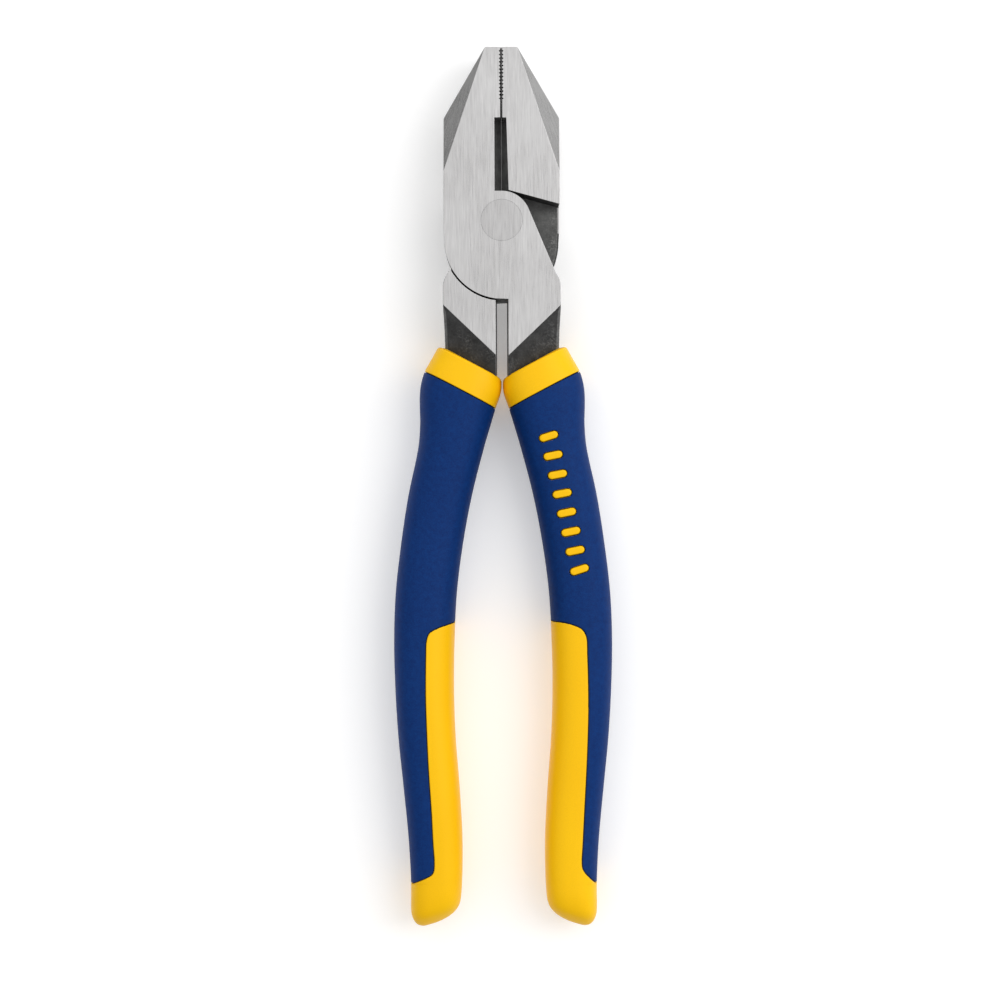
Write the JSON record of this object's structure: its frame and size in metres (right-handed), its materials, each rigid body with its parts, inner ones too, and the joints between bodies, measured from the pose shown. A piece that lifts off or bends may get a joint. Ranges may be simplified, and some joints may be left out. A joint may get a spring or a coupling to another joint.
{
  "type": "lineman pliers",
  "caption": "Lineman combination pliers with flush-riveted lap joint, serrated nose jaws, side cutter and bowed two-colour moulded grips.",
  "frame": {"origin": "on the pivot axis, in the rear face of the joint (the rivet's rear head)", "axes": "+Z along the pivot axis out of the front face, +Y along the tool towards the nose of the jaws, +X to the right seen from the front"},
  "size_m": [0.0602, 0.2413, 0.0203],
  "materials": {
    "forged_steel": "ground flats with fine lengthwise grain, black forged shanks",
    "rivet_steel": "ground flush with the flats",
    "hard_plastic": "satin yellow hard plastic, also on the slanted bars that show through the right overmould",
    "soft_overmould": "matt blue soft overmould, very fine texture"
  },
  "bodies": {
    "rear_half": {"lever_rear": "forged_steel", "pivot_rivet": "rivet_steel", "grip_core_left": "hard_plastic", "grip_overmould_left": "soft_overmould"},
    "front_half": {"lever_front": "forged_steel", "grip_core_right": "hard_plastic", "grip_overmould_right": "soft_overmould"}
  },
  "joints": [
    {"name": "pivot", "type": "hinge", "parent": "rear_half", "child": "front_half", "pos_m": [0, 0, 0.00795], "axis": [0, 0, 1], "range_deg": [0, 50]}
  ]
}
